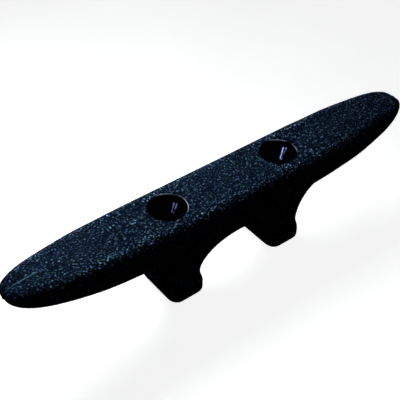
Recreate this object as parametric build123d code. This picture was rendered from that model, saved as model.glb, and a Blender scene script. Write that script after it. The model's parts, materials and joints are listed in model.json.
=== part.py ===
"""Open-base horn cleat, one nylon moulding, held down by two countersunk screws.

Millimetres, +Z up. The origin is the centre of the base, midway between the screw holes.
X runs along the horns, Y across them. The shape is symmetric about the XZ and YZ planes.
"""
from build123d import *
import math
import os

# Overall size: a nominal 6 inch cleat
LENGTH = 152.0
WIDTH = 22.4
HEIGHT = 32.0             # base to the top of the bar, midway

# Bar and horns: rounded edges, nearly parallel in the middle and bluntly rounded at the tips
PLAN_POWER = 3.9          # how late the sides start to close in
PLAN_ROOT = 2.6           # how blunt the tips are in plan
MIDDLE_THICKNESS = 12.3
TIP_THINNING = 5.4        # thickness lost from the middle to the tip, before the nose
THINNING_POWER = 3.3
NOSE_POWER = 13.0         # how short the rounded nose is in side view
TIP_RISE = 1.1            # how far the top of the tips stands above the middle
NOSE_LIFT = 0.2           # how far the nose's centre stands above the bar's centre line
NOSE_LIFT_POWER = 8
EDGE_RADIUS = 4.5         # along the long edges
EDGE_SHARE = 0.48         # largest edge radius, as a share of the section's side
SECTIONS_PER_HORN = 10
LAST_SECTION = math.radians(88.3)

# Legs: one bridge under the bar, with an arch cut through it
HOLE_SPACING = 43.4
LEG_INNER = 14.6          # inner face of a leg's neck
LEG_OUTER = 25.6          # outer face of a leg's neck
NECK_HALF_WIDTH = 8.6
NECK_HEIGHT = 7.7         # where the arch springs
ARCH_TOP = 15.8
OUTER_ARC_RADIUS = 11.9
LEG_CORNER_RADIUS = 2.6
SIDE_BLEND_RADIUS = 1.5   # where the legs' sides run into the bar

# Feet: a pad all round each leg, and a slope from its shoulder up to the neck
PAD_LIP = 0.9             # how far the pad stands out from the neck
PAD_HEIGHT = 4.0
ANKLE_HEIGHT = 6.6        # where the slope meets the neck
SHOULDER_ROUNDING = 2.0
ANKLE_ROUNDING = 3.0
BASE_ROUNDING = 0.4

# Screw holes: a straight bore, a 90 degree countersink and a shallow recess that sinks the head
BORE_RADIUS = 2.6         # clearance for a 5 mm or number 10 screw
RECESS_RADIUS = 5.75
RECESS_DEPTH = 2.0
SINK_HALF_ANGLE = math.radians(45)
RIM_ROUNDING = 0.45
OVERSHOOT = 1.0           # how far the cutting shapes run past the surface

LEVEL = 0.001             # how near two heights count as the same
HALF_LENGTH = LENGTH / 2
HOLE_X = HOLE_SPACING / 2
UNDERSIDE = HEIGHT - MIDDLE_THICKNESS


def horn_section(angle):
    """One rounded section of the bar; equal steps of angle crowd the sections towards the tips."""
    share = abs(math.sin(angle))
    width = WIDTH * (1 - share**PLAN_POWER) ** (1 / PLAN_ROOT)
    full = MIDDLE_THICKNESS - TIP_THINNING * share**THINNING_POWER
    thickness = full * math.sqrt(1 - share**NOSE_POWER)
    middle = HEIGHT + TIP_RISE * share**2 - full / 2 + NOSE_LIFT * share**NOSE_LIFT_POWER
    radius = min(EDGE_RADIUS, EDGE_SHARE * width, EDGE_SHARE * thickness)
    place = Plane.YZ.offset(HALF_LENGTH * math.sin(angle)) * Pos(0, middle)
    return place * RectangleRounded(width, thickness, radius)


def make_bar():
    """Both horns and the bar between them, lofted through the sections."""
    steps = range(-SECTIONS_PER_HORN, SECTIONS_PER_HORN + 1)
    return loft([horn_section(LAST_SECTION * step / SECTIONS_PER_HORN) for step in steps])


def leg_side_view():
    """Half of the bridge from the side: outer arc, leg, half arch, and a top inside the bar."""
    top = HEIGHT - MIDDLE_THICKNESS / 2
    arc_foot = UNDERSIDE - OUTER_ARC_RADIUS
    arc_end = LEG_OUTER + OUTER_ARC_RADIUS
    swing = OUTER_ARC_RADIUS * math.sqrt(0.5)
    with BuildSketch(Plane.XZ) as view:
        with BuildLine():
            Polyline((0, ARCH_TOP), (0, top), (arc_end, top), (arc_end, UNDERSIDE))
            ThreePointArc((arc_end, UNDERSIDE), (arc_end - swing, arc_foot + swing), (LEG_OUTER, arc_foot))
            Polyline((LEG_OUTER, arc_foot), (LEG_OUTER, 0), (LEG_INNER, 0), (LEG_INNER, NECK_HEIGHT))
            EllipticalCenterArc((0, NECK_HEIGHT), LEG_INNER, ARCH_TOP - NECK_HEIGHT, arc_size=90)
        make_face()
    return view.sketch


def is_level(edge, height):
    """True for an edge that lies level at this height."""
    box = edge.bounding_box()
    return max(abs(box.min.Z - height), abs(box.max.Z - height)) < LEVEL


def is_leg_corner(edge):
    """True for the upright corners of the legs and the edges of the arch and outer arcs."""
    centre = edge.center()
    on_side = abs(abs(centre.Y) - NECK_HALF_WIDTH) < LEVEL
    return on_side and LEVEL < centre.Z < UNDERSIDE


def make_bridge():
    """Both legs and the arch between them, with rounded corners."""
    half = extrude(leg_side_view(), NECK_HALF_WIDTH, both=True)
    bridge = half + mirror(half, Plane.YZ)
    return fillet(bridge.edges().filter_by(is_leg_corner), LEG_CORNER_RADIUS)


def make_foot(side):
    """One foot, on the side given by the sign: the pad and the slope above it."""
    length = LEG_OUTER - LEG_INNER + 2 * PAD_LIP
    width = 2 * (NECK_HALF_WIDTH + PAD_LIP)
    outline = RectangleRounded(length, width, LEG_CORNER_RADIUS + PAD_LIP)
    rise = ANKLE_HEIGHT - PAD_HEIGHT
    taper = math.degrees(math.atan(PAD_LIP / rise))
    foot = extrude(outline, PAD_HEIGHT) + extrude(Pos(0, 0, PAD_HEIGHT) * outline, rise, taper=taper)
    shoulder = foot.edges().filter_by(lambda edge: is_level(edge, PAD_HEIGHT))
    foot = fillet(shoulder, SHOULDER_ROUNDING)
    foot = fillet(foot.edges().filter_by(lambda edge: is_level(edge, 0)), BASE_ROUNDING)
    return Pos(side * (LEG_INNER + LEG_OUTER) / 2, 0) * foot


def make_legs():
    """The bridge standing on its two feet."""
    legs = make_bridge() + make_foot(-1) + make_foot(1)
    ankles = legs.edges().filter_by(lambda edge: is_level(edge, ANKLE_HEIGHT))
    return fillet(ankles, ANKLE_ROUNDING)


def make_hole(side):
    """The space of one screw hole: bore, countersink and head recess."""
    sink_top = HEIGHT - RECESS_DEPTH
    sink_foot = sink_top - (RECESS_RADIUS - BORE_RADIUS) / math.tan(SINK_HALF_ANGLE)
    top = HEIGHT + OVERSHOOT
    profile = Polyline(
        (0, -OVERSHOOT), (BORE_RADIUS, -OVERSHOOT), (BORE_RADIUS, sink_foot),
        (RECESS_RADIUS, sink_top), (RECESS_RADIUS, top), (0, top), close=True)
    return Pos(side * HOLE_X, 0, 0) * revolve(Plane.XZ * make_face(profile), Axis.Z)


def is_side_seam(edge):
    """True for the two long edges where the bridge's flat sides run up into the bar."""
    centre = edge.center()
    return abs(centre.X) < LEVEL and abs(abs(centre.Y) - NECK_HALF_WIDTH) < LEVEL


def is_rim(edge):
    """True for the closed edge round the mouth of a screw hole."""
    return edge.bounding_box().min.Z > HEIGHT - OVERSHOOT


def make_cleat():
    """The whole moulding: bar and legs blended together, then the two screw holes."""
    cleat = make_bar() + make_legs()
    cleat = fillet(cleat.edges().filter_by(is_side_seam), SIDE_BLEND_RADIUS)
    cleat = cleat - make_hole(-1) - make_hole(1)
    return fillet(cleat.edges().filter_by(is_rim), RIM_ROUNDING)


cleat_body = make_cleat()
os.makedirs("parts", exist_ok=True)
export_step(cleat_body, "parts/cleat_body.step")
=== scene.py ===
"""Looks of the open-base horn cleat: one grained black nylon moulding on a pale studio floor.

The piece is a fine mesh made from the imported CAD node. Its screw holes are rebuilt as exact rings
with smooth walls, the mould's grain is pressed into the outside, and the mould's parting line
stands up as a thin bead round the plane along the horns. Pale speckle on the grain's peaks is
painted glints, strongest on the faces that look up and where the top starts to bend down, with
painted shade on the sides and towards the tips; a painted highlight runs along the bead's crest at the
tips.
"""
import json
import math

import bmesh
import bpy
import numpy as np
from mathutils import Matrix, Vector
from mathutils.bvhtree import BVHTree
from mathutils.noise import noise


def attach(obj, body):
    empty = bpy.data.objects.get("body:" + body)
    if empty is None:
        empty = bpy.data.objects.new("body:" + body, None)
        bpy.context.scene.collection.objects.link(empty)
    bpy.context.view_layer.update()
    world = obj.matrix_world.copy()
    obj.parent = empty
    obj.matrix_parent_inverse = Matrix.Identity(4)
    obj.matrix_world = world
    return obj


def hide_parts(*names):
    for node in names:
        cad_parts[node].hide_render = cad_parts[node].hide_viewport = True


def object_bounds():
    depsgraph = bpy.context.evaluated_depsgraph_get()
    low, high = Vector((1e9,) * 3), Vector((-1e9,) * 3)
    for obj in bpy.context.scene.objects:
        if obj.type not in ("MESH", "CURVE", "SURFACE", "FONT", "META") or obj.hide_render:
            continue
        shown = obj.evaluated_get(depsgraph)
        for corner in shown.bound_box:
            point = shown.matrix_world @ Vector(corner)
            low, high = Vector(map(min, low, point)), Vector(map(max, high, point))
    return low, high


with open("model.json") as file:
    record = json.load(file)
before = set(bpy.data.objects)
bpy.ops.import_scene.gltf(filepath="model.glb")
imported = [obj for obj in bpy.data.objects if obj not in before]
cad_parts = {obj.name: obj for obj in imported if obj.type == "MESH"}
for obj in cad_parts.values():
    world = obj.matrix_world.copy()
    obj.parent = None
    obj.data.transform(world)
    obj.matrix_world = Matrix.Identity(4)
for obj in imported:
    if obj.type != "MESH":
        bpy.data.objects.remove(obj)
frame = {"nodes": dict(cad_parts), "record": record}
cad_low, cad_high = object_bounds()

MM = 0.001
NODE = "cleat_body"

# Screw holes, in millimetres: bore, 90 degree countersink, head recess and rounded rim
RECESS_RADIUS = 5.75
RIM_ROUNDING = 0.45
RIM_RADIUS = RECESS_RADIUS + RIM_ROUNDING
EDGE_SOFTENING = 0.25     # where the countersink meets the recess and the bore
EDGE_STEPS = 4            # rings across a softened edge
RIM_STEPS = 5             # rings round the rim
WALL_STEP = 0.5           # spacing of the rings down the recess and the countersink
BORE_STEP = 4.0           # spacing of the rings down the bore
BORE_EDGE = 0.3           # height of the bore's last ring
ON_WALL = 0.03            # how near a vertex lies to a hole's profile to be on it

# Mesh
CELLS_TO_HOLE = 57        # grid cells from the middle to a hole's axis
MOST_CORNERS = 4          # a face of the closed solid with more is split into triangles
SMOOTHING_ROUNDS = 6
SMOOTHING_SHARE = 0.5     # how far a round moves a vertex towards the middle of its neighbours
RIM_CLEARANCE = 0.12      # the grid is cut this far outside a hole's rim
RIM_RELAX_REACH = 1.6
RIM_RELAX_ROUNDS = 12
PLANE_CUT_SHARE = 50      # the cut along the horns takes in vertices a cell's fiftieth from its plane

# Grain and parting line, in millimetres
GRAIN_SIZE = 0.75
GRAIN_HEIGHT = 0.05
GRAIN_SHIFT = (3.1, 7.7, 1.3)
FINE_GRAIN_SIZE = 0.45
FINE_GRAIN_HEIGHT = 0.03
FINE_GRAIN_SHIFT = (9.2, 0.4, 5.6)
SMOOTH_MARGIN = 0.5       # the grain fades in this far from a rim or the base
BAR_DEPTH = 12.3
BEAD_HEIGHT = 0.16        # at the tips
BEAD_FAINT = 0.05         # everywhere else but the flat top
BEAD_START = 52.0         # where along the horn's top the bead starts to show
BEAD_FULL = 68.0
BEAD_FAINT_RAMP = BAR_DEPTH / 4
BEAD_CELL_SHARE = 8       # the bead takes in vertices a cell's eighth from that plane

# Moulded surface: pitches and depths in metres
GRAIN_PITCH = 0.00055
GRAIN_BUMP = 0.0003
FINE_PITCH = 0.0003
FINE_BUMP = 0.00003
GLOSS_PITCH = 0.0012
GRAIN_ROUGHNESS = (0.42, 0.60)
GRAIN_SPECULAR = 0.01
GRAIN_TINT = (0.3, 0.6, 1.0, 1)
PIT_COLOUR = (0.0, 0.004, 0.016)
# painted shade: the pits' colour on the sides, darker than on the top
SHADED_SIDE_COLOUR = (0.0010, 0.0016, 0.0030)
# painted glints on the grain's peaks, in teal and blue
GLINT_TEAL = (0.0095, 0.0215, 0.0265)
GLINT_BLUE = (0.0090, 0.0145, 0.032)
HUE_PITCH = 0.0009
HUE_NOISE = (0.4, 0.6)    # the peaks go from teal to blue over this part of the noise
NOISE_MIDDLE = 0.5
NOISE_REACH = (0.3, 0.7)  # the part of a noise that is stretched over a range of roughness

# Painted glints speckle the grain's peaks, with painted shade on the sides and tips, and a painted
# highlight on the bead's crest; lengths in millimetres
SPECKLE_CONTRAST = 45000.0
SPECKLE_CUT = 0.5         # taken off the speckle, so that its pits go dark
# painted shade on the sides: the glints fade as the surface turns away from looking up
SHADED_SIDE_SHARE = 0.25         # of the speckle that is left on the sides
UPWARD_LIGHT_SLOPE = (0.6, 0.97)  # the speckle comes in where the surface looks this much upwards
# painted highlight where the top starts to bend down
EDGE_HIGHLIGHT_SLOPE = 0.99         # and is strongest where the top starts to bend down
EDGE_HIGHLIGHT = 2.0
# painted shade towards the tips, where the horns turn down
TIP_START = 66.0          # it fades towards the tips, from and to here
TIP_END = 75.0
SHADED_TIP_SHARE = 0.15
# painted highlight along the bead's crest at the tips: its half width, where it starts and where it is full
# along the horns, and its strength
LINE_HALF_WIDTH = 0.12
LINE_START = 65.0
LINE_FULL = 69.0
CREST_HIGHLIGHT_STRENGTH = 12.0

# Walls of the holes: faint lines along the polished pin
PIN_LINE_PITCH = 0.0005
PIN_LINE_DETAIL = 2
PIN_LINE_STRETCH = (1, 1, 0.04)
PIN_LINE_BUMP = 0.00001
PIN_DARK = (0.0015, 0.0022, 0.0040)
PIN_LIGHT = (0.0035, 0.0050, 0.0085)
PIN_ROUGHNESS = (0.05, 0.12)
PIN_SPECULAR = 0.4
PIN_TINT = (0.75, 0.85, 1.0, 1)

# Camera: where it stands round the object, in degrees and millimetres
CAMERA_AZIMUTH = -38.67
CAMERA_ELEVATION = 41.66
CAMERA_ROLL = 0.93
CAMERA_DISTANCE = 277.7
CAMERA_AIM = (1.3, 13.6, 12.9)
CAMERA_LENS = 75.9
CAMERA_CLIP = 0.01        # in metres

# Floor, in metres
FLOOR_GLOW = 1.15
FLOOR_DARK = (0.74, 0.74, 0.745)
FLOOR_LIGHT = (0.80, 0.80, 0.80)
FLOOR_ROUGHNESS = 0.9
FLOOR_SPECULAR = 0.1
MOTTLE_PITCH = 0.05
MOTTLE_DETAIL = 4
BACKDROP_SIDES = 96
BACKDROP_PROFILE = (      # radius and height
    (1.2, 0), (2.0, 0), (2.4, 0.05), (2.8, 0.2), (3.1, 0.45), (3.3, 0.8), (3.4, 1.2), (3.4, 2.5),
)

# Lamps: name, place and size in metres, power in watts, colour, and the beam's spread in degrees
BACK_LAMP = ("back_softbox", (0.02, 0.25, 0.27), (0.15, 0.15), 0.105, (0.95, 0.98, 1.0), 55)
BACK_LAMP_AIM = (-0.065, 0, 0.03)
PANE_COLOUR = (0.45, 0.53, 1.0)
REFLECTED_LAMPS = (
    ("window_near", (-0.70, -0.11, 0.82), (0.03, 0.4), 0.011, PANE_COLOUR, 7),
    ("window_far", (-0.78, 0.14, 0.75), (0.02, 0.4), 0.007, PANE_COLOUR, 7),
    ("window_top", (0.15, 0.05, 1.0), (0.5, 0.5), 8.0, (0.8, 0.9, 1.0), 180),
)
REFLECTED_AIM_HEIGHT = 0.03
SURROUND_COLOUR = (0.80, 0.90, 1.0, 1)
SURROUND_STRENGTH = 0.01

bores = [mount for mount in frame["record"]["mounts"] if mount["kind"] == "bore"]
hole_centres = sorted(mount["pos_m"][0] / MM for mount in bores)
bore_radius = bores[0]["dims"]["r_mm"]
bore_length = bores[0]["dims"]["length_mm"]
sink_top = bore_length + RECESS_RADIUS - bore_radius
hole_x = hole_centres[-1]
cell = hole_x / CELLS_TO_HOLE


def smooth_step(value, low, high):
    """0 below low, 1 above high, and a smooth ramp between; works on arrays."""
    share = np.clip((value - low) / (high - low), 0, 1)
    return share * share * (3 - 2 * share)


def hole_profile(height):
    """Radius of the plain hole, without its rim rounding, at this height."""
    return float(np.clip(bore_radius + height - bore_length, bore_radius, RECESS_RADIUS))


def mesh_object(name, mesh):
    """A new object that holds the mesh, in the scene."""
    thing = bpy.data.objects.new(name, mesh)
    bpy.context.scene.collection.objects.link(thing)
    return thing


def near_axis(point, centre):
    """Distance from a hole's axis."""
    return math.hypot(point.x - centre, point.y)


def on_hole_wall(point, centre):
    """True for a vertex of the CAD mesh that lies on a screw hole's wall or rim."""
    away = near_axis(point, centre)
    if away > RIM_RADIUS + ON_WALL:
        return False
    return point.z > sink_top or abs(away - hole_profile(point.z)) < ON_WALL


def closed_solid():
    """The CAD node in millimetres, with both screw holes closed over."""
    solid = bmesh.new()
    solid.from_mesh(frame["nodes"][NODE].data)
    bmesh.ops.scale(solid, vec=(1 / MM,) * 3, verts=solid.verts)
    bmesh.ops.remove_doubles(solid, verts=solid.verts, dist=MM)
    walls = [face for face in solid.faces
             if any(all(on_hole_wall(vert.co, centre) for vert in face.verts) for centre in hole_centres)]
    bmesh.ops.delete(solid, geom=walls, context="FACES")
    mouths = [edge for edge in solid.edges if edge.is_boundary]
    bmesh.ops.holes_fill(solid, edges=mouths, sides=0)
    bmesh.ops.triangulate(solid, faces=[face for face in solid.faces if len(face.verts) > MOST_CORNERS])
    return solid


def even_grid(solid):
    """The solid's surface again as a fine even grid, smoothed so that no CAD facets show."""
    mesh = bpy.data.meshes.new("grid")
    solid.to_mesh(mesh)
    thing = mesh_object("grid", mesh)
    remesh = thing.modifiers.new("grid", "REMESH")
    remesh.mode = "VOXEL"
    remesh.voxel_size = cell
    evaluated = thing.evaluated_get(bpy.context.evaluated_depsgraph_get())
    grid = bmesh.new()
    grid.from_mesh(evaluated.to_mesh())
    bpy.data.objects.remove(thing)
    bpy.data.meshes.remove(mesh)
    for _ in range(SMOOTHING_ROUNDS):
        bmesh.ops.smooth_vert(grid, verts=grid.verts, factor=SMOOTHING_SHARE,
                              use_axis_x=True, use_axis_y=True, use_axis_z=True)
    return grid


def boundary_loops(grid):
    """Each open loop of the grid as its vertices in order."""
    following = {}
    for edge in grid.edges:
        if edge.is_boundary:
            for vert in edge.verts:
                following.setdefault(vert, []).append(edge)
    loops, seen = [], set()
    for start in following:
        if start in seen:
            continue
        loop, here, came = [], start, None
        while here not in seen:
            seen.add(here)
            loop.append(here)
            came = next(edge for edge in following[here] if edge is not came)
            here = came.other_vert(here)
        loops.append(loop)
    return loops


def cut_circle(grid, centre, radius, top):
    """Removes the grid inside a circle, on the top or on the base."""
    middle = cad_high.z / MM / 2
    inside = [vert for vert in grid.verts
              if near_axis(vert.co, centre) < radius + RIM_CLEARANCE and (vert.co.z > middle) == top]
    bmesh.ops.delete(grid, geom=inside, context="VERTS")
    bmesh.ops.delete(grid, geom=[vert for vert in grid.verts if not vert.link_faces], context="VERTS")


def snap_loop(loop, centre, radius):
    """Moves an open loop's vertices straight out or in, to lie on a circle."""
    for vert in loop:
        stretch = radius / near_axis(vert.co, centre)
        vert.co.x = centre + (vert.co.x - centre) * stretch
        vert.co.y *= stretch


def relax_near(grid, loop, centre, radius, surface):
    """Evens out the grid round a snapped loop, and puts it back on the surface."""
    fixed = set(loop)
    height = loop[0].co.z
    near = [vert for vert in grid.verts
            if vert not in fixed and abs(vert.co.z - height) < RIM_RELAX_REACH
            and near_axis(vert.co, centre) < radius + RIM_RELAX_REACH]
    for _ in range(RIM_RELAX_ROUNDS):
        for vert in near:
            around = [edge.other_vert(vert).co for edge in vert.link_edges]
            target = sum(around, Vector()) / len(around)
            vert.co = vert.co.lerp(target, SMOOTHING_SHARE)
    for vert in near + loop:
        vert.co = surface.find_nearest(vert.co)[0]


def softened(corner, start, end):
    """Points across a softened corner between two directions of a profile."""
    before = (Vector(start) - Vector(corner)).normalized() * EDGE_SOFTENING
    after = (Vector(end) - Vector(corner)).normalized() * EDGE_SOFTENING
    shares = [step / EDGE_STEPS for step in range(EDGE_STEPS + 1)]
    return [Vector(corner) + before * (1 - share) ** 2 + after * share ** 2 for share in shares]


def rim_profile(top):
    """The rim's rounding, from just inside its outer edge down to the recess."""
    turns = [math.pi / 2 * step / RIM_STEPS for step in range(1, RIM_STEPS + 1)]
    return [Vector((RECESS_RADIUS + RIM_ROUNDING * (1 - math.sin(turn)),
                    top - RIM_ROUNDING * (1 - math.cos(turn)))) for turn in turns]


def wall_profile(top):
    """The hole's wall from just under the rim to just above the base, as (radius, height)."""
    rim_foot = (RECESS_RADIUS, top - RIM_ROUNDING)
    recess_foot = (RECESS_RADIUS, sink_top)
    sink_foot = (bore_radius, bore_length)
    bore_foot = (bore_radius, BORE_EDGE)
    rim = rim_profile(top)
    corners = rim[-1:] + softened(recess_foot, rim_foot, sink_foot)
    corners += softened(sink_foot, recess_foot, bore_foot)
    corners += [Vector(bore_foot)]
    points = rim[:-1]
    for start, end in zip(corners, corners[1:]):
        step = BORE_STEP if end.y < bore_length - EDGE_SOFTENING else WALL_STEP
        count = max(1, round((end - start).length / step))
        points += [start.lerp(end, i / count) for i in range(count)]
    return points + [corners[-1]]


def add_wall(grid, loop, foot_loop, centre):
    """Rings from the rim's loop down the hole, joined to the loop round its exit."""
    top = sum(vert.co.z for vert in loop) / len(loop)
    spokes = [Vector((vert.co.x - centre, vert.co.y)).normalized() for vert in loop]
    lifts = [vert.co.z - top for vert in loop]
    ring, walls = loop, []
    for radius, height in wall_profile(top):
        fade = float(smooth_step(height, sink_top, top))
        below = [grid.verts.new((centre + spoke.x * radius, spoke.y * radius, height + lift * fade))
                 for spoke, lift in zip(spokes, lifts)]
        walls += [grid.faces.new((ring[i - 1], ring[i], below[i], below[i - 1])) for i in range(len(ring))]
        ring = below
    edges = [grid.edges.get((side[i - 1], side[i])) for side in (ring, foot_loop) for i in range(len(side))]
    walls += bmesh.ops.bridge_loops(grid, edges=edges)["faces"]
    return walls


def drill(grid, surface):
    """Both screw holes as exact rings; returns the faces of their walls."""
    walls = []
    for centre in hole_centres:
        cut_circle(grid, centre, RIM_RADIUS, True)
        cut_circle(grid, centre, bore_radius, False)
        foot_loop, rim_loop = sorted(boundary_loops(grid), key=lambda loop: loop[0].co.z)
        for loop, radius in ((foot_loop, bore_radius), (rim_loop, RIM_RADIUS)):
            snap_loop(loop, centre, radius)
            relax_near(grid, loop, centre, radius, surface)
            snap_loop(loop, centre, radius)
        walls += add_wall(grid, rim_loop, foot_loop, centre)
    return walls


def noise_at(points, size, shift):
    """Smooth noise between about -1 and 1, whose features are of this size."""
    return np.array([noise(Vector(point) / size + Vector(shift)) for point in points])


def grain_heights(points, outside):
    """How far each vertex stands out of the smooth surface, in millimetres."""
    grain = GRAIN_HEIGHT * noise_at(points, GRAIN_SIZE, GRAIN_SHIFT)
    grain += FINE_GRAIN_HEIGHT * noise_at(points, FINE_GRAIN_SIZE, FINE_GRAIN_SHIFT)
    away = np.min([np.hypot(points[:, 0] - centre, points[:, 1]) for centre in hole_centres], axis=0)
    high = points[:, 2] > bore_length
    grain *= np.where(high, smooth_step(away, RIM_RADIUS, RIM_RADIUS + SMOOTH_MARGIN), 1)
    grain *= smooth_step(points[:, 2], 0, SMOOTH_MARGIN)
    return grain * outside


def bead_heights(points, outside):
    """Height of the parting line's bead: full at the tips, gone on the flat top, faint below."""
    on_plane = np.abs(points[:, 1]) < cell / BEAD_CELL_SHARE
    middle = cad_high.z / MM - BAR_DEPTH / 2
    along = np.abs(points[:, 0])
    at_tip = smooth_step(along, BEAD_START, BEAD_FULL)
    below = smooth_step(-points[:, 2], -middle, -middle + BEAD_FAINT_RAMP)
    height = np.maximum(BEAD_HEIGHT * at_tip, BEAD_FAINT * below)
    height *= smooth_step(points[:, 2], 0, SMOOTH_MARGIN)
    return height * on_plane * outside


def press_texture(mesh, wall_verts):
    """Presses the grain and the parting line into the mesh, along its normals."""
    count = len(mesh.vertices)
    points = np.empty(count * 3)
    normals = np.empty(count * 3)
    mesh.vertices.foreach_get("co", points)
    mesh.vertex_normals.foreach_get("vector", normals)
    points, normals = points.reshape(-1, 3), normals.reshape(-1, 3)
    outside = np.ones(count)
    outside[wall_verts] = 0
    heights = grain_heights(points, outside) + bead_heights(points, outside)
    mesh.vertices.foreach_set("co", (points + normals * heights[:, None]).ravel())
    mesh.update()


def build_cleat():
    """The whole moulding as one closed mesh, with its outside and its hole walls as two slots."""
    solid = closed_solid()
    surface = BVHTree.FromBMesh(solid)
    grid = even_grid(solid)
    everything = grid.verts[:] + grid.edges[:] + grid.faces[:]
    bmesh.ops.bisect_plane(grid, geom=everything, plane_co=(0, 0, 0), plane_no=(0, 1, 0),
                           dist=cell / PLANE_CUT_SHARE)
    walls = drill(grid, surface)
    bmesh.ops.recalc_face_normals(grid, faces=grid.faces)
    for face in grid.faces:
        face.smooth = True
    for face in walls:
        face.material_index = 1
    grid.verts.index_update()
    wall_verts = sorted({vert.index for face in walls for vert in face.verts})
    mesh = bpy.data.meshes.new("cleat_moulding")
    grid.to_mesh(mesh)
    grid.free()
    solid.free()
    press_texture(mesh, wall_verts)
    mesh.transform(Matrix.Scale(MM, 4))
    return mesh_object("cleat_moulding", mesh)


def node_tree(name):
    """A new material, its nodes, their links and its shader."""
    material = bpy.data.materials.new(name)
    material.use_nodes = True
    nodes = material.node_tree.nodes
    return material, nodes, material.node_tree.links, nodes["Principled BSDF"]


def add_noise(nodes, links, size, detail, stretch=(1, 1, 1)):
    """Noise over the object with features of this size in metres."""
    where = nodes.new("ShaderNodeTexCoord")
    scaled = nodes.new("ShaderNodeMapping")
    scaled.inputs["Scale"].default_value = stretch
    links.new(where.outputs["Object"], scaled.inputs["Vector"])
    texture = nodes.new("ShaderNodeTexNoise")
    texture.inputs["Scale"].default_value = 1 / size
    texture.inputs["Detail"].default_value = detail
    links.new(scaled.outputs["Vector"], texture.inputs["Vector"])
    return texture.outputs["Fac"]


def add_range(nodes, links, value, low, high, new_low, new_high):
    """A value stretched from one range to another."""
    node = nodes.new("ShaderNodeMapRange")
    for name, number in zip(("From Min", "From Max", "To Min", "To Max"), (low, high, new_low, new_high)):
        node.inputs[name].default_value = number
    links.new(value, node.inputs["Value"])
    return node.outputs["Result"]


def add_colours(nodes, links, value, dark, light):
    """A colour between two, by a value from 0 to 1."""
    node = nodes.new("ShaderNodeMix")
    node.data_type = "RGBA"
    node.inputs["A"].default_value = (*dark, 1)
    node.inputs["B"].default_value = (*light, 1)
    links.new(value, node.inputs["Factor"])
    return node.outputs["Result"]


def add_math(nodes, links, operation, first, second):
    """Two values combined; the second may be a plain number."""
    node = nodes.new("ShaderNodeMath")
    node.operation = operation
    links.new(first, node.inputs[0])
    if isinstance(second, (int, float)):
        node.inputs[1].default_value = second
    else:
        links.new(second, node.inputs[1])
    return node.outputs["Value"]


def add_power(nodes, links, value, contrast):
    """1 where a noise is at its middle, and contrast times more or less for each unit from there."""
    centred = add_math(nodes, links, "SUBTRACT", value, NOISE_MIDDLE)
    power = nodes.new("ShaderNodeMath")
    power.operation = "POWER"
    power.inputs[0].default_value = contrast
    links.new(centred, power.inputs[1])
    return power.outputs["Value"]


def add_part(nodes, links, vector, axis):
    """One part of a texture coordinate, such as the Z of the object's normal."""
    where = nodes.new("ShaderNodeTexCoord")
    split = nodes.new("ShaderNodeSeparateXYZ")
    links.new(where.outputs[vector], split.inputs["Vector"])
    return split.outputs[axis]


def add_distance(nodes, links, axis):
    """Distance from the object's middle along one axis."""
    return add_math(nodes, links, "ABSOLUTE", add_part(nodes, links, "Object", axis), 0)


def add_crest_highlight_line(nodes, links):
    """Where the painted highlight runs: 1 along the crest of the parting line's bead at the tips, and 0
    elsewhere.
    """
    across = add_distance(nodes, links, "Y")
    along = add_distance(nodes, links, "X")
    crest = add_range(nodes, links, across, LINE_HALF_WIDTH * MM, 2 * LINE_HALF_WIDTH * MM, 1, 0)
    at_tip = add_range(nodes, links, along, LINE_START * MM, LINE_FULL * MM, 0, 1)
    return add_math(nodes, links, "MULTIPLY", crest, at_tip)


def add_speckle(nodes, links, strength, colour, ground):
    """The colour scaled by the strength, over the ground colour."""
    node = nodes.new("ShaderNodeVectorMath")
    node.operation = "MULTIPLY_ADD"
    for value, socket in zip((strength, colour, ground), node.inputs):
        links.new(value, socket)
    return node.outputs["Vector"]


def add_bump(nodes, links, height, depth, before=None):
    """A bump of this depth in metres, on top of the one before."""
    node = nodes.new("ShaderNodeBump")
    node.inputs["Distance"].default_value = depth
    links.new(height, node.inputs["Height"])
    if before:
        links.new(before, node.inputs["Normal"])
    return node.outputs["Normal"]


def add_painted_lighting(nodes, links):
    """Painted light: how lit the grain is by how much it looks up, with painted shade on the sides, and how
    strongly its painted glints show, brightest where the top bends down and dimmer at the tips.
    """
    upward = add_part(nodes, links, "Normal", "Z")
    lit_share = add_range(nodes, links, upward, *UPWARD_LIGHT_SLOPE, SHADED_SIDE_SHARE, 1)
    # painted highlight where the top starts to bend down
    edge = add_range(nodes, links, upward, EDGE_HIGHLIGHT_SLOPE, 1, EDGE_HIGHLIGHT, 1)
    along = add_distance(nodes, links, "X")
    # painted shade towards the tips
    tip = add_range(nodes, links, along, TIP_START * MM, TIP_END * MM, 1, SHADED_TIP_SHARE)
    shown = add_math(nodes, links, "MULTIPLY", add_math(nodes, links, "MULTIPLY", lit_share, edge), tip)
    return lit_share, shown


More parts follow.
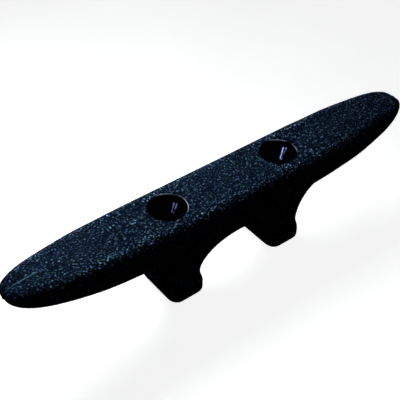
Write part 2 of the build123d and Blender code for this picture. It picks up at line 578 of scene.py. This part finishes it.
def add_grain_colour(nodes, links, peaks):
    """Dark pits with painted shade on the sides, painted glints in teal and blue on the peaks, and a
    painted highlight on the crest of the parting line's bead.
    """
    lit_share, shown = add_painted_lighting(nodes, links)
    # painted glints: the speckle on the grain's peaks
    power = add_power(nodes, links, peaks, SPECKLE_CONTRAST)
    speckle = add_math(nodes, links, "MAXIMUM", add_math(nodes, links, "SUBTRACT", power, SPECKLE_CUT), 0)
    # painted highlight along the bead's crest, added to the glints
    crest = add_math(nodes, links, "MULTIPLY", add_crest_highlight_line(nodes, links), CREST_HIGHLIGHT_STRENGTH)
    strength = add_math(nodes, links, "MULTIPLY", add_math(nodes, links, "ADD", speckle, crest), shown)
    hue = add_range(nodes, links, add_noise(nodes, links, HUE_PITCH, 0), *HUE_NOISE, 0, 1)
    glint_colour = add_colours(nodes, links, hue, GLINT_TEAL, GLINT_BLUE)
    # painted shade: the pits go near black on the sides
    pit_and_shade_colour = add_colours(nodes, links, lit_share, SHADED_SIDE_COLOUR, PIT_COLOUR)
    return add_speckle(nodes, links, strength, glint_colour, pit_and_shade_colour)


def set_gloss(shader, specular, tint):
    """How strongly the surface mirrors, and in what tint."""
    shader.inputs["Specular IOR Level"].default_value = specular
    shader.inputs["Specular Tint"].default_value = tint


def grained_nylon():
    """Black nylon from a spark-eroded mould: dark pits, painted glints on the peaks that look up, and
    painted shade on the sides and tips.
    """
    material, nodes, links, shader = node_tree("grained_black_nylon")
    peaks = add_noise(nodes, links, GRAIN_PITCH, 0)
    links.new(add_grain_colour(nodes, links, peaks), shader.inputs["Base Color"])
    gloss = add_noise(nodes, links, GLOSS_PITCH, 1)
    links.new(add_range(nodes, links, gloss, *NOISE_REACH, *GRAIN_ROUGHNESS), shader.inputs["Roughness"])
    coarse = add_bump(nodes, links, peaks, GRAIN_BUMP)
    fine = add_bump(nodes, links, add_noise(nodes, links, FINE_PITCH, 1), FINE_BUMP, coarse)
    links.new(fine, shader.inputs["Normal"])
    set_gloss(shader, GRAIN_SPECULAR, GRAIN_TINT)
    return material


def polished_nylon():
    """The same nylon where a polished pin shaped it: smooth, with faint lines along the pin."""
    material, nodes, links, shader = node_tree("polished_black_nylon")
    lines = add_noise(nodes, links, PIN_LINE_PITCH, PIN_LINE_DETAIL, PIN_LINE_STRETCH)
    links.new(add_colours(nodes, links, lines, PIN_DARK, PIN_LIGHT), shader.inputs["Base Color"])
    links.new(add_range(nodes, links, lines, *NOISE_REACH, *PIN_ROUGHNESS), shader.inputs["Roughness"])
    links.new(add_bump(nodes, links, lines, PIN_LINE_BUMP), shader.inputs["Normal"])
    set_gloss(shader, PIN_SPECULAR, PIN_TINT)
    return material


def pale_floor():
    """Matt pale studio floor, faintly mottled; it glows, so its shadows stay pale."""
    material, nodes, links, shader = node_tree("pale_floor")
    mottle = add_noise(nodes, links, MOTTLE_PITCH, MOTTLE_DETAIL)
    colour = add_colours(nodes, links, mottle, FLOOR_DARK, FLOOR_LIGHT)
    links.new(colour, shader.inputs["Base Color"])
    links.new(colour, shader.inputs["Emission Color"])
    shader.inputs["Emission Strength"].default_value = FLOOR_GLOW
    shader.inputs["Roughness"].default_value = FLOOR_ROUGHNESS
    shader.inputs["Specular IOR Level"].default_value = FLOOR_SPECULAR
    return material


def make_backdrop():
    """A round floor that curves up into a wall far from the object, and doesn't light it."""
    bowl = bmesh.new()
    rings = []
    for radius, height in BACKDROP_PROFILE:
        rings.append([bowl.verts.new((radius * math.cos(turn), radius * math.sin(turn), height))
                      for turn in (2 * math.pi * i / BACKDROP_SIDES for i in range(BACKDROP_SIDES))])
    bowl.faces.new(rings[0])
    for inner, outer in zip(rings, rings[1:]):
        for i in range(BACKDROP_SIDES):
            bowl.faces.new((inner[i - 1], outer[i - 1], outer[i], inner[i])).smooth = True
    mesh = bpy.data.meshes.new("studio_floor")
    bowl.to_mesh(mesh)
    bowl.free()
    floor = mesh_object("studio_floor", mesh)
    floor.data.materials.append(pale_floor())
    floor.visible_glossy = False
    floor.visible_diffuse = False


def add_lamp(name, place, size, power, colour, spread, aim):
    """An area light at a place, facing a point; a small spread keeps its beam narrow."""
    lamp = bpy.data.lights.new(name, "AREA")
    lamp.shape = "RECTANGLE"
    lamp.size, lamp.size_y = size
    lamp.energy = power
    lamp.color = colour
    lamp.spread = math.radians(spread)
    thing = bpy.data.objects.new(name, lamp)
    bpy.context.scene.collection.objects.link(thing)
    thing.location = place
    thing.rotation_mode = "QUATERNION"
    thing.rotation_quaternion = (Vector(aim) - Vector(place)).to_track_quat("-Z", "Y")
    return thing


def light_studio():
    """A softbox behind and above, lamps that show only in reflections, and a dim surround."""
    add_lamp(*BACK_LAMP, BACK_LAMP_AIM)
    for lamp in REFLECTED_LAMPS:
        add_lamp(*lamp, (hole_x * MM, 0, REFLECTED_AIM_HEIGHT)).visible_diffuse = False
    world = bpy.data.worlds.new("surround")
    world.use_nodes = True
    background = world.node_tree.nodes["Background"]
    background.inputs["Color"].default_value = SURROUND_COLOUR
    background.inputs["Strength"].default_value = SURROUND_STRENGTH
    bpy.context.scene.world = world
    bpy.context.scene.view_settings.view_transform = "Standard"


def place_camera():
    """The main view: from the left, in front and above."""
    camera = bpy.data.cameras.new("camera")
    camera.lens = CAMERA_LENS
    camera.clip_start = CAMERA_CLIP
    thing = bpy.data.objects.new("camera", camera)
    bpy.context.scene.collection.objects.link(thing)
    azimuth, elevation = math.radians(CAMERA_AZIMUTH), math.radians(CAMERA_ELEVATION)
    back = Vector((math.sin(azimuth) * math.cos(elevation), -math.cos(azimuth) * math.cos(elevation),
                   math.sin(elevation)))
    level = Vector((math.cos(azimuth), math.sin(azimuth), 0))
    axes = Matrix((level, back.cross(level), back)).transposed()
    turned = axes @ Matrix.Rotation(math.radians(CAMERA_ROLL), 3, "Z")
    place = (Vector(CAMERA_AIM) + back * CAMERA_DISTANCE) * MM
    thing.matrix_world = Matrix.Translation(place) @ turned.to_4x4()
    bpy.context.scene.camera = thing


cleat = build_cleat()
cleat.data.materials.append(grained_nylon())
cleat.data.materials.append(polished_nylon())
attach(cleat, "root")
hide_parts(NODE)
make_backdrop()
light_studio()
place_camera()
